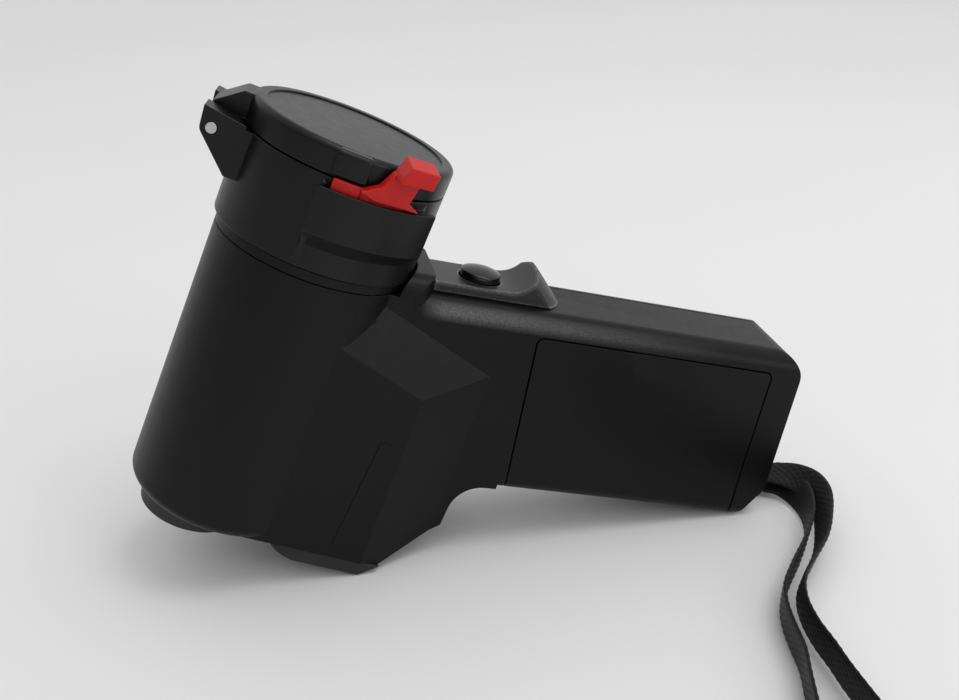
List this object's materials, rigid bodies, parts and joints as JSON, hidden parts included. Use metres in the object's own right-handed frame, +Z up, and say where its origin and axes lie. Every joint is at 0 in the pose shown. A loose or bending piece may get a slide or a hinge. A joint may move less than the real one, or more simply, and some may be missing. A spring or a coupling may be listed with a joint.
{
  "type": "spot light meter",
  "caption": "Pistol-grip photographic spot meter with a flip-open lens cap, red cap latch, trigger button, sliding battery door, display, keys and a wrist strap.",
  "frame": {"origin": "on the floor the meter rests on, under the middle of the box round it without its strap", "axes": "+X towards the end of the handle, +Y towards the display side, +Z up from the floor"},
  "size_m": [0.173, 0.1541, 0.1136],
  "materials": {
    "shell_plastic": "fine spark texture",
    "trigger_plastic": "satin",
    "button_plastic": "satin gloss",
    "cap_plastic": "fine texture",
    "latch_plastic": "satin",
    "pad_rubber": "matt",
    "inner_plastic": "matt",
    "steel": "nickel plated",
    "brass": "turned",
    "lens_glass": "polished",
    "window_plastic": "clear smoke",
    "display_glass": "liquid crystal grey",
    "board": "solder mask",
    "key_rubber": "matt",
    "mat_rubber": "matt",
    "cell_jacket": "plain jacket",
    "webbing": "woven"
  },
  "bodies": {
    "meter": {"right_shell": "shell_plastic", "left_shell": "shell_plastic", "front_bezel": "shell_plastic", "trigger_plate": "trigger_plastic", "cap_sleeve": "cap_plastic", "heel_pad": "pad_rubber", "measuring_switch": "inner_plastic", "battery_tray": "inner_plastic", "eyepiece_tube": "inner_plastic", "lens_cell": "inner_plastic", "lens_retainer": "inner_plastic", "light_baffle": "inner_plastic", "optics_carrier": "inner_plastic", "battery_plus_contact": "steel", "battery_spring": "steel", "photocell": "steel", "sync_terminal": "steel", "strap_pin": "steel", "case_screws": "steel", "cap_hinge_pin": "steel", "cap_hinge_spring": "steel", "latch_pin": "steel", "tripod_bush": "brass", "eyepiece_lens": "lens_glass", "objective_lens": "lens_glass", "field_lens": "lens_glass", "splitter_front": "lens_glass", "splitter_rear": "lens_glass", "display_window": "window_plastic", "display_panel": "display_glass", "circuit_board": "board", "key_mat": "mat_rubber", "battery_cell": "cell_jacket", "wrist_strap": "webbing"},
    "lid": {"cap_lid": "cap_plastic"},
    "latch": {"cap_latch": "latch_plastic"},
    "button": {"measuring_button": "button_plastic"},
    "door": {"battery_door": "shell_plastic"},
    "eyecup": {"eyecup_ring": "pad_rubber"},
    "mode_key": {"mode_key": "key_rubber"},
    "film_key": {"film_key": "key_rubber"},
    "memory_key": {"memory_key": "key_rubber"},
    "up_key": {"up_key": "key_rubber"},
    "down_key": {"down_key": "key_rubber"}
  },
  "joints": [
    {"name": "lid_hinge", "type": "hinge", "parent": "meter", "child": "lid", "pos_m": [-0.05343, 0.00591, 0.10721], "axis": [-0.1118, -0.9925, 0.0484], "range_deg": [0, 130]},
    {"name": "latch_pivot", "type": "hinge", "parent": "meter", "child": "latch", "pos_m": [-0.02317, -0.02128, 0.09335], "axis": [0.2064, -0.9744, -0.0894], "range_deg": [0, 8], "stiffness_Nm_per_rad": 0.05},
    {"name": "button_press", "type": "slide", "parent": "meter", "child": "button", "axis": [-0.2489, 0, -0.9685], "range_m": [0, 0.0015], "stiffness_N_per_m": 600},
    {"name": "door_slide", "type": "slide", "parent": "meter", "child": "door", "axis": [-0.1859, 0, -0.9826], "range_m": [0, 0.01]},
    {"name": "eyecup_turn", "type": "hinge", "parent": "meter", "child": "eyecup", "pos_m": [-0.06826, 0.0025, 0.01687], "axis": [0.3974, 0, 0.9177], "range_deg": [-90, 90]},
    {"name": "mode_key_press", "type": "slide", "parent": "meter", "child": "mode_key", "axis": [0, -1, 0], "range_m": [0, 0.0008], "stiffness_N_per_m": 800},
    {"name": "film_key_press", "type": "slide", "parent": "meter", "child": "film_key", "axis": [0, -1, 0], "range_m": [0, 0.0008], "stiffness_N_per_m": 800},
    {"name": "memory_key_press", "type": "slide", "parent": "meter", "child": "memory_key", "axis": [0, -1, 0], "range_m": [0, 0.0008], "stiffness_N_per_m": 800},
    {"name": "up_key_press", "type": "slide", "parent": "meter", "child": "up_key", "axis": [0, -1, 0], "range_m": [0, 0.0008], "stiffness_N_per_m": 800},
    {"name": "down_key_press", "type": "slide", "parent": "meter", "child": "down_key", "axis": [0, -1, 0], "range_m": [0, 0.0008], "stiffness_N_per_m": 800}
  ]
}
